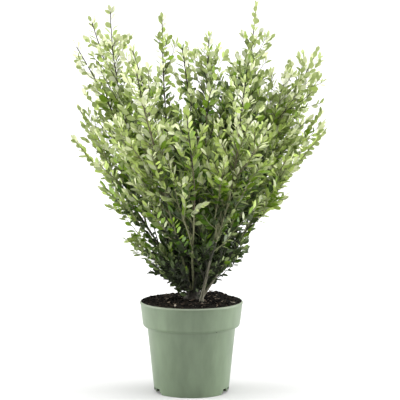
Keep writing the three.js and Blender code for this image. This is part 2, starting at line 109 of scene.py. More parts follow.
# Soil
SOIL_DROP = 1
SOIL_TOP = 171.5
SOIL_FLAT_RADIUS = 46
SOIL_CLEARANCE = 0.3
SOIL_EDGE_CLEARANCE = 0.1
SOIL_HEAP = {"azimuth": 50, "height": 6, "radius": 68, "width": 20, "fade": 6}
SOIL_RINGS = 40
SOIL_SECTORS = 120
SOIL_GRAIN = {"height": 1.6, "scale": 0.16, "fractal": (0.7, 2.1, 4), "fade": 5}
CRUMBS = {"count": 520, "margin": 3, "size": (0.9, 2.8), "flatness": 0.7, "stretch": (1.2, 1.2), "lift": 0.2}
CHIPS = {"count": 65, "margin": 6, "size": (1.2, 2.6), "flatness": 0.3, "stretch": (1.6, 3), "lift": 0.4}
SPECK = {"azimuth": -57, "radius": 83.6, "height": 121.6, "size": 1.2}
LUMP_UNEVENNESS = (0.7, 1.15)
LUMP_TILT = 0.3
LUMP_CHANCES = (0.5, 0.35, 0.15)

# Woody foot of the plant
TRUNK = {"x": 2, "y": 6, "lean": 3, "height": 24, "flare": 18, "neck": 11, "lobes": 5}
FRONT_STEM = {"x": 18, "y": -30, "lean": 1, "height": 12, "flare": 5, "neck": 3.6, "lobes": 3}
LOBE_DEPTH = 0.06
FOOT_HEIGHTS = (-0.12, 0, 0.2, 0.55, 0.88, 1.0)
FOOT_FLARE_SHARE = 0.3
FOOT_SHOULDER_SHARE = 0.78
FOOT_TIP_SHARE = 0.1
FOOT_SIDES = 48
FOOT_RINGS = 30
BARK = {"depth": 0.09, "scale": 0.5, "upright": 0.3, "fractal": (0.8, 2.0, 3)}
ROOT_SHARES = {
    "trunk": (0.4, 0.5),
    "front_stem": (0.2, 0.55),
    "stool_top": (0.45, 0.8),
    "skirt": (0.4, 0.22),
}
RING_START = -15

# Limbs and shoots
BOUGH_BASE_RADIUS = 2.8
BOUGH_TIP_RADIUS = 2.1
BOUGH_SHARE = 0.19
BOUGH_STEPS = 24
BOUGH_SIDES = 16
BOUGH_SAMPLES = 8
VASE_BEND = 0.25
SKIRT_BEND = -0.12
LEADER_BASE_RADIUS = 2
LEADER_TIP_RADIUS = 0.85
LEADER_STEPS = 18
LEADER_WANDER = 3.5
FORK_SHARES = (0, 0.12, 0.24, 0.36)
FORK_PULL = 0.42
FORK_THINNING = 0.3
FULL_LEADER = 200
TANGENT_STEP = 0.03
SHOOT_SIDES = (7, 5, 4, 3)
TWIG_TURNS = 4
TWIG_VARIATION = 0.25
TWIG_SHIFT = 0.6
TWIG_BEND = 0.55
TWIG_GIRTH = 0.62
TWIG_TIP_RADIUS = 0.4
TWIG_STEPS = 5
TWIG_SAMPLES = 4
TWIG_WANDER = 0.02
BOUGH_TWIG_TURN = 0.7
BOUGH_TWIG = {"spacing": 9, "first": 0.3, "last": 1, "long": 80, "short": 140, "spread": 34, "lift": 0.15}
TWIG = {"spacing": 22, "first": 0.0, "last": 0.9, "long": 150, "short": 18, "spread": 30, "lift": 0.12}
SIDE_TWIG = {"spacing": 60, "first": 0.12, "last": 0.6, "long": 60, "short": 26, "spread": 34, "lift": 0.12}
SPROUT = {"spacing": 7, "first": 0.0, "last": 0.4, "long": 30, "short": 50, "spread": 48, "lift": 0.35}

# How full of twigs each leader of a spray is, against 1
FULLNESS = {
    "right_high": (2.4, 1.2, 1.4, 0.9),
    "back_right": (1.3, 1.0, 1.0),
    "back": (0.45, 1.0),
    "back_left": (0.4, 0.5),
    "left_high": (1.5, 0.4, 1.6),
    "left_low": (1.1, 0.2, 0.35, 0.15),
    "front_left": (1.0, 0.7, 0.6),
    "right_low": (0.7, 0.5, 0.7, 0.5),
    "front_right": (1.9, 1.2, 1.0),
    "mid_left": (0.8, 1.0),
    "centre": (3.2, 0.4),
    "right_spire": (1.8, 3.0, 2.6),
    "low_left": (1.5, 0.5),
    "low_front_left": (0.35, 0.35),
    "low_front_right": (0.25, 0.25),
}

# Painted light and shade: how much lighter or darker the leaves of each leader are, against 0
PAINTED_SHADING = {
    "right_high": (0, 0, 0.03, 0.04),
    "back_right": (-0.1, 0.05, 0),
    "left_low": (0.02, 0.03, 0.13, 0),
    "front_left": (0.05, 0.1, 0),
    "front": (-0.12, 0.05),
    "front_right": (-0.02, -0.09, 0.14),
    "right_low": (0, 0, 0.24, 0.14),
    "right_spire": (0, -0.02, -0.1),
    "low_left": (0.12, 0.05),
    "low_front_left": (0.03, -0.08),
    "low_front_right": (-0.12, 0.02),
    "low_right": (0.03, 0.03),
}

# Where twigs grow along their leader, and how far they pass its tip
LOW_CROWDING = 1.5
TWIG_RISE = 6
SPIRE_HEIGHT = 610
SPIRE_SHARE = 0.6
SHORTENING = 0.75
SPUR = {"spacing": 30, "first": 0.5, "last": 0.92, "long": 26, "short": 8, "spread": 46, "lift": 0.1}

# Heights at which the twigs' bark turns from shaded to olive, brown and dark
WOOD_STEPS = (285, 390, 490)
WOOD_VARIATION = 25

# Leaves
LEAF_HEIGHTS = (235, 380, 570)
LEAF_LENGTHS = (15.5, 21, 17.5)
LEAF_WIDTHS = (8.8, 8.6, 11.3)
LEAF_LENGTH_VARIATION = (0.85, 1.15)
LEAF_WIDTH_VARIATION = (0.86, 1.1)
LEAF_LOOSENESS = (0.14, 0.28)
LEAF_FOLD = (0.05, 0.32)
LEAF_CURL = {"mean": 0.06, "spread": 0.07}
LEAF_THICKNESS = 0.35
LEAF_SEAT = 0.5
RANK_TURN = 0.7
RANK_LOOSENESS = 0.3
LEAF_STATIONS = ((0.13, 0.12), (0.35, 0.76), (0.61, 1.0), (0.87, 0.6))
LEADER_LEAF_SPACING = 5.5
LEAF_SPACING = 7
OPEN_THINNING = 1.5
LEAF_SPREAD = 43
LEAF_TIP_SPREAD = 28
LEAF_END_SPREAD = 8
LEAF_SPREAD_VARIATION = 4
TIP_LEAF_SHARE = 0.8
TIP_LEAVES = 3
TIP_STEP = 3
YOUNG_SLIMNESS = 0.78
YOUNG_LENGTH = 40
YOUNG_SHORTNESS = 0.85
LEADER_LEAF_FIRST = 0.45
TWIG_LEAF_FIRST = 0.16

# Where the crown starts to open up, and over what height it does
OPENING = (380, 190)

# How far the crown reaches from its axis at some heights, and where its axis is there
CROWN_REACH = 252
CROWN_HEIGHTS = (176, 195, 210, 240, 285, 340, 400, 470, 520, 740)
CROWN_REACHES = (28, 36, 48, 84, 122, 159, 175, 214, CROWN_REACH, CROWN_REACH)
CROWN_AXES_X = (4, 2, 0, 0, -2, 4, 12, 20, 10, 10)
CROWN_TOP = 724
SPACE_OVERLAP = 12
LEADER_SAMPLES = 14

# A leader is an upright shoot, given by the direction, reach and height of its tip.
# A spray is one mass of foliage: its first leader grows on from its bough, and the others fork off it.
SPRAYS = (
    ("right_high", "trunk", ((357, 231, 635), (8, 236, 588), (351, 176, 606), (27, 205, 556))),
    ("back_right", "trunk", ((58, 216, 600), (40, 205, 520), (74, 170, 470))),
    ("back", "trunk", ((92, 214, 640), (102, 190, 520))),
    ("back_left", "trunk", ((122, 216, 618), (149, 206, 540))),
    ("left_high", "trunk", ((168, 190, 690), (184, 214, 646), (203, 157, 710))),
    ("left_low", "trunk", ((171, 213, 528), (186, 220, 473), (176, 172, 374), (208, 188, 430))),
    ("front_left", "trunk", ((243, 210, 606), (226, 200, 520), (212, 126, 642))),
    ("front", "trunk", ((268, 214, 535), (258, 170, 420))),
    ("front_right", "front_stem", ((297, 212, 592), (314, 205, 505), (284, 165, 440))),
    ("right_low", "front_stem", ((6, 247, 524), (352, 248, 488), (346, 180, 368), (330, 196, 440))),
    ("mid_left", "stool_top", ((132, 82, 696), (160, 120, 610))),
    ("centre", "stool_top", ((292, 86, 666), (256, 80, 648))),
    ("right_spire", "stool_top", ((10, 122, 724), (40, 130, 620), (330, 120, 620))),
    ("low_left", "skirt", ((178, 128, 284), (190, 84, 221))),
    ("low_front_left", "skirt", ((228, 120, 285), (250, 100, 248))),
    ("low_front_right", "skirt", ((290, 118, 290), (312, 104, 255))),
    ("low_right", "skirt", ((356, 106, 272), (20, 116, 300))),
    ("low_back_right", "skirt", ((68, 120, 288), (48, 104, 252))),
    ("low_back_left", "skirt", ((112, 122, 284), (136, 106, 256))),
)

# Brightness of the studio dome, and the directions between which it changes
DOME_FRONT_TO_BACK = (0.03, 0.6)
DOME_FRONT_RANGE = (-0.8, 0.2)
DOME_SIDES = 10.5
DOME_SIDE_RANGE = (0.75, 1)
DOME_TOP = 1.4
DOME_TOP_RANGE = (0.6, 1)
KEY_LIGHT = {"strength": 3.0, "spread": 60, "pitch": 4, "roll": 5}

# Leaf tints in steps of painted shade and light, from the shaded heart of the crown to its open top, where
# the palest step is a painted highlight. At each step a leaf is rich, a painted glow of light coming through
# it, or dull, a painted greyish sheen where it only reflects.
UPPER_TINTS = {
    "leaf_deep": (0.028, 0.036, 0.020),
    "leaf_deep_rich": (0.026, 0.045, 0.010),
    "leaf_dark_dull": (0.091, 0.129, 0.049),
    "leaf_dark_rich": (0.067, 0.142, 0.011),
    "leaf_mid_dull": (0.208, 0.266, 0.100),
    "leaf_mid_rich": (0.178, 0.293, 0.023),
    "leaf_fresh_dull": (0.432, 0.480, 0.274),
    "leaf_fresh_rich": (0.376, 0.480, 0.120),
    "leaf_painted_highlight": (0.745, 0.765, 0.610),
    "leaf_lime": (0.610, 0.652, 0.385),
}
TINT_STEPS = (0.235, 0.365, 0.515, 0.665)
RICHNESS = (0.35, 1)
# Tints of the lower faces, from painted shade to painted light
LOWER_TINTS = {
    "leaf_back_painted_shade": (0.080, 0.116, 0.045),
    "leaf_back_mid": (0.250, 0.315, 0.118),
    "leaf_back_painted_light": (0.400, 0.475, 0.190),
}
LIME_STEP = 0.72
LIME_YOUTH = 0.5
LIME_VARIATION = 0.1
PALE_POWER = 4

# A leaf's painted light and shade comes from its height, how far out in the crown it is, its youth, the
# open air and its shoot's painted shading and random tone. A rise is where in the crown's height something
# starts, and over how much of it.
HEIGHT_LIGHT = 0.8
HEIGHT_POWER = 0.55
OUTER_LIGHT = 0.42
OUTER_SHARE = 0.84
OUTER_RISE = (0.04, 0.3)
YOUNG_LIGHT = 0.18
YOUNG_RISE = (0.1, 0.4)
OPEN_LIGHT = 0.07
SPIRE_SHADE = 0.06
SPIRE_FADE = 50
LIGHT_VARIATION = (0.05, 0.085)
VARIATION_RISE = (0, 0.3)
RICH_RISE = (0.09, 0.1)
MOOD_SPREAD = 0.07
MOOD_LIMIT = 0.12


def lerp(start, end, share):
    return start + (end - start) * share


def unit(vector):
    return vector / np.linalg.norm(vector, axis=-1, keepdims=True)


def rise(value, start, span):
    """From 0 before a start to 1 after a span."""
    return np.clip((value - start) / span, 0, 1)


def polar(azimuth, reach, height):
    angle = math.radians(azimuth)
    return np.array([reach * math.cos(angle), reach * math.sin(angle), height])


# Meshes and pieces

def add_object(name, vertices, faces, materials, indices=None, sharp=35):
    """A mesh object from points in millimetres, smooth but for edges sharper than an angle."""
    mesh = bpy.data.meshes.new(name)
    mesh.from_pydata((np.asarray(vertices) * MM).tolist(), [], faces)
    for material in materials:
        mesh.materials.append(material)
    if indices is not None:
        mesh.polygons.foreach_set("material_index", np.asarray(indices, np.int32))
    mesh.shade_smooth()
    mesh.set_sharp_from_angle(angle=math.radians(sharp))
    mesh.update()
    made = bpy.data.objects.new(name, mesh)
    bpy.context.scene.collection.objects.link(made)
    return made


def dress(piece, slot, *nodes):
    """Hangs a piece on the root body and hides the frame's nodes that it replaces; the finish it is given is
    not used.
    """
    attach(piece, "root")
    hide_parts(*nodes)


class Bundle:
    """Many small solids gathered into one mesh."""

    def __init__(self):
        self.vertices = []
        self.faces = []
        self.indices = []
        self.count = 0

    def add(self, vertices, faces, index=0):
        self.vertices.append(vertices)
        self.faces.extend([[v + self.count for v in face] for face in faces])
        self.indices.extend(np.broadcast_to(index, len(faces)))
        self.count += len(vertices)

    def piece(self, name, materials, sharp=35):
        return add_object(name, np.concatenate(self.vertices), self.faces, materials, self.indices, sharp)


# Materials

def plain_material(name, colour, roughness, specular=0.5):
    material = bpy.data.materials.new(name)
    material.use_nodes = True
    shader = material.node_tree.nodes["Principled BSDF"]
    shader.inputs["Base Color"].default_value = (*colour, 1)
    shader.inputs["Roughness"].default_value = roughness
    shader.inputs["Specular IOR Level"].default_value = specular
    return material


def mottled_material(
    name, stops, roughness, scale, stretch=(1, 1, 1), bump=0.2, bump_scale=4.0, specular=0.5
):
    """A colour that wanders between stops with a noise, and a finer relief."""
    material = plain_material(name, stops[0][1], roughness, specular)
    nodes = material.node_tree.nodes
    links = material.node_tree.links
    shader = nodes["Principled BSDF"]
    place = nodes.new("ShaderNodeTexCoord")
    mapping = nodes.new("ShaderNodeMapping")
    mapping.inputs["Scale"].default_value = stretch
    links.new(place.outputs["Object"], mapping.inputs["Vector"])
    cloud = nodes.new("ShaderNodeTexNoise")
    cloud.inputs["Scale"].default_value = scale
    cloud.inputs["Detail"].default_value = CLOUD_DETAIL
    links.new(mapping.outputs["Vector"], cloud.inputs["Vector"])
    ramp = nodes.new("ShaderNodeValToRGB")
    while len(ramp.color_ramp.elements) < len(stops):
        ramp.color_ramp.elements.new(0.5)
    for element, (position, colour) in zip(ramp.color_ramp.elements, stops):
        element.position = position
        element.color = (*colour, 1)
    links.new(cloud.outputs["Fac"], ramp.inputs["Fac"])
    links.new(ramp.outputs["Color"], shader.inputs["Base Color"])
    grain = nodes.new("ShaderNodeTexNoise")
    grain.inputs["Scale"].default_value = scale * bump_scale
    grain.inputs["Detail"].default_value = GRAIN_DETAIL
    links.new(mapping.outputs["Vector"], grain.inputs["Vector"])
    relief = nodes.new("ShaderNodeBump")
    relief.inputs["Strength"].default_value = bump
    relief.inputs["Distance"].default_value = RELIEF_DEPTH * MM
    links.new(grain.outputs["Fac"], relief.inputs["Height"])
    links.new(relief.outputs["Normal"], shader.inputs["Normal"])
    return material


# Pot

def rounded_profile(profile):
    """A profile of (radius, height, rounding) corners, each rounded by a short curve."""
    points = []
    for i, (radius, height, rounding) in enumerate(profile):
        corner = np.array([radius, height], float)
        if rounding == 0:
            points.append(corner)
            continue
        before = unit(np.array(profile[i - 1][:2]) - corner) * rounding
        after = unit(np.array(profile[i + 1][:2]) - corner) * rounding
        for t in np.linspace(0, 1, CORNER_STEPS + 1):
            points.append(corner + (1 - t) ** 2 * before + t**2 * after)
    return np.array(points)


def turned(profile, segments):
    """A solid of revolution about Z from a profile that starts and ends on the axis."""
    inner = profile[1:-1]
    turns = np.linspace(0, 2 * math.pi, segments, endpoint=False)
    rings = np.stack(
        [np.outer(np.cos(turns), inner[:, 0]), np.outer(np.sin(turns), inner[:, 0])], axis=-1
    )
    heights = np.broadcast_to(inner[:, 1], (segments, len(inner)))[..., None]
    vertices = np.concatenate([rings, heights], axis=-1).reshape(-1, 3)
    ends = np.array([[0, 0, profile[0][1]], [0, 0, profile[-1][1]]])
    first, last = len(vertices), len(vertices) + 1
    rows = len(inner)
    faces = []
    for s in range(segments):
        here, there = s * rows, (s + 1) % segments * rows
        faces.append((first, there, here))
        faces.append((last, here + rows - 1, there + rows - 1))
        for r in range(rows - 1):
            faces.append((here + r, there + r, there + r + 1, here + r + 1))
    return np.concatenate([vertices, ends]), faces


def pot_inside(height):
    if height <= BODY_TOP_HEIGHT:
        return lerp(BODY_FOOT_RADIUS, BODY_TOP_RADIUS, height / BODY_TOP_HEIGHT) - POT_WALL
    share = (height - COLLAR_FOOT_HEIGHT) / (POT_HEIGHT - RIM_DEPTH - COLLAR_FOOT_HEIGHT)
    return lerp(COLLAR_FOOT_RADIUS, COLLAR_TOP_RADIUS, share) - POT_WALL


def pot_lining(clearance):
    """The inside of the pot from its middle up to the collar's foot, drawn in by a clearance."""
    floor = BASE_THICKNESS + clearance
    ledge = CHANNEL_HEIGHT + BASE_THICKNESS + clearance
    return [
        (0, floor, 0),
        (BASE_RADIUS - POT_WALL - clearance, floor, 0),
        (BASE_RADIUS - POT_WALL + CHANNEL_SLOPE - clearance, ledge, 0),
        (pot_inside(ledge) - clearance, ledge, 0),
        (pot_inside(BODY_TOP_HEIGHT) - clearance, BODY_TOP_HEIGHT + POT_WALL, 0),
        (COLLAR_FOOT_RADIUS - 2 * POT_WALL - clearance, COLLAR_FOOT_HEIGHT - POT_WALL, 0),
        (pot_inside(COLLAR_FOOT_HEIGHT) - clearance, COLLAR_FOOT_HEIGHT + clearance, 0),
    ]


def prism(outline, low, high):
    """An upright prism over an outline that runs anticlockwise."""
    count = len(outline)
    bottom = [(x, y, low) for x, y in outline]
    top = [(x, y, high) for x, y in outline]
    sides = [(i, (i + 1) % count, count + (i + 1) % count, count + i) for i in range(count)]
    return np.array(bottom + top), [tuple(range(count - 1, -1, -1)), tuple(range(count, 2 * count)), *sides]


def foot_notch(azimuth):
    """The gap between the front foot and the back foot, on one side of the pot."""
    turns = np.radians(azimuth + np.linspace(-NOTCH_HALF_ANGLE, NOTCH_HALF_ANGLE, NOTCH_ARC_STEPS))
    outer = [(math.cos(t), math.sin(t)) for t in turns]
    far = BODY_FOOT_RADIUS + DRAIN_SLOT["width"]
    near = BODY_FOOT_RADIUS - DRAIN_SLOT["width"]
    outline = [(far * x, far * y) for x, y in outer] + [(near * x, near * y) for x, y in outer[::-1]]
    return prism(outline, NOTCH_FLOOR, NOTCH_HEIGHT)


def drain_slot(azimuth):
    """A drain slot through the corner where the wall meets the raised channel."""
    turn = math.radians(azimuth)
    along = np.array([math.cos(turn), math.sin(turn)])
    across = np.array([-math.sin(turn), math.cos(turn)])
    half_depth, half_width = DRAIN_SLOT["depth"] / 2, DRAIN_SLOT["width"] / 2
    corners = [(-1, -1), (1, -1), (1, 1), (-1, 1)]
    middle = along * DRAIN_SLOT["radius"]
    outline = [tuple(middle + along * half_depth * a + across * half_width * b) for a, b in corners]
    half_height = DRAIN_SLOT["height"] / 2
    return prism(outline, DRAIN_SLOT["middle"] - half_height, DRAIN_SLOT["middle"] + half_height)


def cut(piece, solids):
    """Takes solids out of a piece."""
    bundle = Bundle()
    for vertices, faces in solids:
        bundle.add(vertices, faces)
    cutter = bundle.piece("cutter", [])
    modifier = piece.modifiers.new("cut", "BOOLEAN")
    modifier.operation = "DIFFERENCE"
    modifier.solver = "EXACT"
    modifier.object = cutter
    shape = piece.evaluated_get(bpy.context.evaluated_depsgraph_get())
    piece.data = bpy.data.meshes.new_from_object(shape)
    piece.modifiers.clear()
    bpy.data.objects.remove(cutter)


def make_pot():
    outside = [
        (0, 0, 0),
        (BASE_RADIUS, 0, BODY_CORNERS["base"]),
        (BASE_RADIUS + CHANNEL_SLOPE, CHANNEL_HEIGHT, 0),
        (BODY_FOOT_RADIUS - POT_WALL, CHANNEL_HEIGHT, 0),
        (BODY_FOOT_RADIUS - POT_WALL, 0, 0),
        (BODY_FOOT_RADIUS, 0, BODY_CORNERS["foot"]),
        (BODY_TOP_RADIUS, BODY_TOP_HEIGHT, BODY_CORNERS["top"]),
        (COLLAR_FOOT_RADIUS - POT_WALL, COLLAR_FOOT_HEIGHT - 2 * POT_WALL, COLLAR_CORNERS["ledge"]),
        (COLLAR_FOOT_RADIUS, COLLAR_FOOT_HEIGHT, COLLAR_CORNERS["foot"]),
        (COLLAR_TOP_RADIUS, POT_HEIGHT - RIM_DEPTH, COLLAR_CORNERS["bead"]),
        (RIM_RADIUS, POT_HEIGHT - RIM_DEPTH + BEAD_SLOPE, COLLAR_CORNERS["bead"]),
        (RIM_RADIUS, POT_HEIGHT - RIM_WIDTH, COLLAR_CORNERS["rim"]),
        (RIM_RADIUS - LIP_SHARE * RIM_WIDTH, POT_HEIGHT, COLLAR_CORNERS["lip"]),
        (RIM_RADIUS - RIM_WIDTH, POT_HEIGHT, COLLAR_CORNERS["lip"]),
        (COLLAR_TOP_RADIUS - POT_WALL, POT_HEIGHT - RIM_DEPTH, 0),
    ]
    vertices, faces = turned(rounded_profile(outside + pot_lining(0)[::-1]), POT_SEGMENTS)
    plastic = mottled_material(
        "pot_plastic",
        ((0.3, (0.082, 0.123, 0.062)), (0.7, (0.125, 0.179, 0.099))),
        roughness=0.4,
        scale=45,
        stretch=(1, 1, 0.35),
        bump=0.12,
        bump_scale=30,
        specular=0.9,
    )
    # A paler mottle for the rim's top edge: a painted highlight, as if the bead caught light from above
    painted_rim_highlight = mottled_material(
        "pot_rim_painted_highlight", ((0.3, (0.190, 0.230, 0.160)), (0.7, (0.230, 0.265, 0.195))), roughness=0.5, scale=60
    )
    # The faces of the rim's top edge, which take the painted highlight
    middles = np.array([vertices[list(face)].mean(axis=0) for face in faces])
    is_high = middles[:, 2] > POT_HEIGHT - RIM_WIDTH
    is_rim = is_high & (np.hypot(*middles[:, :2].T) > RIM_RADIUS - RIM_WIDTH)
    pot = add_object("pot_shell", vertices, faces, [plastic, painted_rim_highlight], is_rim)
    cut(pot, [foot_notch(side) for side in (0, 180)])
    cut(pot, [drain_slot(side + angle) for side in (0, 180) for angle in DRAIN_ANGLES])
    pot.data.shade_smooth()
    pot.data.set_sharp_from_angle(angle=math.radians(POT_SHARPNESS))
    dress(pot, "pot", "pot")


# Soil

SOIL_EDGE = POT_HEIGHT - SOIL_DROP
SOIL_EDGE_RADIUS = pot_inside(POT_HEIGHT - RIM_DEPTH) - SOIL_EDGE_CLEARANCE


def soil_height(x, y):
    """Height of the soil: level with the rim, heaped on one side, crumbly all over."""
    radius = math.hypot(x, y)
    share = min(1, (SOIL_EDGE_RADIUS - radius) / (SOIL_EDGE_RADIUS - SOIL_FLAT_RADIUS))
    level = lerp(SOIL_EDGE, SOIL_TOP, math.sin(share * math.pi / 2))
    heap = polar(SOIL_HEAP["azimuth"], SOIL_HEAP["radius"], 0)
    away = math.hypot(x - heap[0], y - heap[1]) / SOIL_HEAP["width"]
    hump = SOIL_HEAP["height"] * math.exp(-away * away) * min(1, SOIL_HEAP["fade"] * share)
    place = Vector((x, y, 0)) * SOIL_GRAIN["scale"]
    grain = noise.fractal(place, *SOIL_GRAIN["fractal"])
    return level + hump + SOIL_GRAIN["height"] * grain * min(1, SOIL_GRAIN["fade"] * share)


def make_soil():
    lining = rounded_profile(pot_lining(SOIL_CLEARANCE))
    heights = np.append(lining[:, 1], [POT_HEIGHT - RIM_DEPTH, SOIL_EDGE])
    radii = np.append(lining[:, 0], [SOIL_EDGE_RADIUS, SOIL_EDGE_RADIUS])
    rings = np.linspace(SOIL_EDGE_RADIUS, 0, SOIL_RINGS)[1:-1]
    profile = np.stack(
        [np.concatenate([radii, rings, [0]]), np.concatenate([heights, rings * 0 + SOIL_TOP, [SOIL_TOP]])],
        axis=1,
    )
    vertices, faces = turned(profile, SOIL_SECTORS)
    for vertex in vertices:
        if vertex[2] > SOIL_EDGE:
            vertex[2] = soil_height(vertex[0], vertex[1])
    mix = mottled_material(
        "potting_mix",
        ((0.3, (0.0034, 0.0029, 0.0022)), (0.55, (0.0105, 0.0082, 0.0064)), (0.75, (0.036, 0.028, 0.021))),
        roughness=0.95,
        scale=260,
        bump=0.9,
        bump_scale=2.5,
        specular=0.1,
    )
    soil = add_object("soil_bed", vertices, faces, [mix], sharp=60)
    dress(soil, "soil", "soil")


def lump(rng, size, flatness, stretch):
    """An uneven lump: an octahedron with its faces split, pushed in and out and drawn out."""
    corners = np.array([(1, 0, 0), (-1, 0, 0), (0, 1, 0), (0, -1, 0), (0, 0, 1), (0, 0, -1)], float)
    faces = [(0, 2, 4), (2, 1, 4), (1, 3, 4), (3, 0, 4), (2, 0, 5), (1, 2, 5), (3, 1, 5), (0, 3, 5)]
    points = list(corners)
    middles = {}
    split = []
    for face in faces:
        ring = []
        for a, b in zip(face, face[1:] + face[:1]):
            key = (min(a, b), max(a, b))
            if key not in middles:
                middles[key] = len(points)
                points.append(unit(points[a] + points[b]))
            ring.append(middles[key])
        split += [(face[0], ring[0], ring[2]), (face[1], ring[1], ring[0]), (face[2], ring[2], ring[1])]
        split.append(tuple(ring))
    points = np.array(points) * rng.uniform(*LUMP_UNEVENNESS, (len(points), 1))
    points *= size * np.array([stretch, 1, flatness])
    turn = rng.uniform(0, 2 * math.pi)
    tilt = rng.normal(0, LUMP_TILT)
    lean = np.array([[math.cos(tilt), 0, -math.sin(tilt)], [0, 1, 0], [math.sin(tilt), 0, math.cos(tilt)]])
    spin = np.array([[math.cos(turn), -math.sin(turn), 0], [math.sin(turn), math.cos(turn), 0], [0, 0, 1]])
    return points @ lean.T @ spin.T, split


def strewn(kind, rng):
    """Lumps of a kind that lie all over the soil, each in one of three tints."""
    bundle = Bundle()
    for _ in range(kind["count"]):
        azimuth = rng.uniform(0, 360)
        x, y, _ = polar(azimuth, (SOIL_EDGE_RADIUS - kind["margin"]) * math.sqrt(rng.random()), 0)
        size = rng.uniform(*kind["size"])
        least, most = kind["stretch"]
        stretch = rng.uniform(least, most) if least < most else least
        points, faces = lump(rng, size, kind["flatness"], stretch)
        place = [x, y, soil_height(x, y) + kind["lift"] * size]
        bundle.add(points + place, faces, rng.choice(len(LUMP_CHANCES), p=LUMP_CHANCES))
    return bundle


def make_crumbs():
    """Crumbs of the mix and chips of bark that lie on the soil, and a speck under the pot's collar."""
    rng = np.random.default_rng(CRUMB_SEED)
    tints = [
        plain_material("crumb_black", (0.004, 0.0034, 0.003), roughness=0.95, specular=0.1),
        plain_material("crumb_brown", (0.014, 0.011, 0.008), roughness=0.95, specular=0.1),
        plain_material("crumb_rust", (0.045, 0.033, 0.024), roughness=0.9, specular=0.1),
    ]
    crumbs = strewn(CRUMBS, rng)
    points, faces = lump(rng, SPECK["size"], CRUMBS["flatness"], CRUMBS["stretch"][0])
    crumbs.add(points + polar(SPECK["azimuth"], SPECK["radius"], SPECK["height"]), faces)
    dress(crumbs.piece("soil_crumbs", tints), "soil")
    barks = [
        plain_material("chip_dark", (0.085, 0.055, 0.034), roughness=0.85),
        plain_material("chip_tan", (0.240, 0.185, 0.130), roughness=0.85),
        plain_material("chip_pale", (0.440, 0.380, 0.300), roughness=0.85),
    ]
    dress(strewn(CHIPS, rng).piece("soil_chips", barks), "soil")


# The rule by which the plant grows

def frame_of(tangent):
    """Two directions square to a limb and to each other, steady along it."""
    hint = np.array([1.0, 0, 0]) if abs(tangent[2]) > NEAR_UPRIGHT else UP
    side = unit(np.cross(tangent, hint))
    return side, np.cross(side, tangent)


def leaning(tangent, around, spread):
    """A direction that leans away from a limb's own direction, towards one side of it."""
    side, over = frame_of(tangent)
    angle = math.radians(spread)
    outwards = math.cos(around) * side + math.sin(around) * over
    return math.cos(angle) * tangent + math.sin(angle) * outwards


def point_on(curve, t):
    return (1 - t) ** 2 * curve[0] + 2 * t * (1 - t) * curve[1] + t * t * curve[2]


def tangent_on(curve, t):
    return unit((1 - t) * (curve[1] - curve[0]) + t * (curve[2] - curve[1]))


def points_on(curve, steps):
    return np.array([point_on(curve, t) for t in np.linspace(0, 1, steps + 1)])


def vase_curve(root, tip, bend):
    """A leader from root to tip. A positive bend spreads it low down, a negative one lifts it first."""
    level = 0.5 + bend
    control = lerp(root, tip, np.array([level, level, 1 - level]))
    return root, control, tip


def split_curve(curve, share):
    at = point_on(curve, share)
    lower = (curve[0], lerp(curve[0], curve[1], share), at)
    upper = (at, lerp(curve[1], curve[2], share), curve[2])
    return lower, upper


def fork_curve(parent, share, tip):
    """A leader that leaves another one along its direction and bends to its own tip."""
    start = point_on(parent, share)
    pull = FORK_PULL * np.linalg.norm(tip - start)
    return start, start + pull * tangent_on(parent, share), tip


def drawn_back(curve):
    """A leader drawn back from its tip by most of the leaf that ends it."""
    return curve[0], curve[1], curve[2] + TIP_LEAF_SHARE * LEAF_LENGTHS[-1] * unit(curve[1] - curve[2])


def spray_root(foot, tip_azimuth, index):
    """Where a spray's first leader leaves its woody foot."""
    base = FRONT_STEM if foot == "front_stem" else TRUNK
    radius_share, height_share = ROOT_SHARES[foot]
    ring = sum(spray[1] == "trunk" for spray in SPRAYS)
    azimuth = RING_START + 360 * index / ring if foot == "trunk" else tip_azimuth
    point = polar(azimuth, base["neck"] * radius_share, SOIL_TOP + base["height"] * height_share)
    return point + [base["x"], base["y"], 0]


def laid_out(spray, index):
    """A spray's bough, if it has one, the curves of its leaders and points along them."""
    name, foot, leaders = spray
    tips = [polar(*leader) for leader in leaders]
    is_skirt = foot == "skirt"
    bend = SKIRT_BEND if is_skirt else VASE_BEND * (1 - leaders[0][1] / CROWN_REACH)
    whole = vase_curve(spray_root(foot, leaders[0][0], index), tips[0], bend)
    bough, first = (None, whole) if is_skirt else split_curve(whole, BOUGH_SHARE)
    curves = [first] + [fork_curve(first, FORK_SHARES[i], tips[i]) for i in range(1, len(tips))]
    samples = np.concatenate([points_on(curve, LEADER_SAMPLES) for curve in curves])
    return {"name": name, "index": index, "bough": bough, "curves": curves, "samples": samples}


class Shoot:
    """A limb along a line of points, tapering from its base to its tip.

    Its twigs end under a ceiling, and its leaves and theirs share a painted shading, lighter or darker to
    stand for light and shade.
    """

    def __init__(self, points, base_radius, tip_radius, ceiling=math.inf, tone=0):
        self.points = points
        self.ceiling = ceiling
        self.tone = tone
        self.radii = np.linspace(base_radius, tip_radius, len(points))
        steps = np.linalg.norm(np.diff(points, axis=0), axis=1)
        self.length = steps.sum()
        self.places = np.concatenate([[0], np.cumsum(steps)]) / self.length

    def at(self, along):
        return np.array([np.interp(along, self.places, self.points[:, i]) for i in range(3)])

    def tangent(self, along):
        return unit(self.at(min(1, along + TANGENT_STEP)) - self.at(max(0, along - TANGENT_STEP)))

    def radius(self, along):
        return np.interp(along, self.places, self.radii)


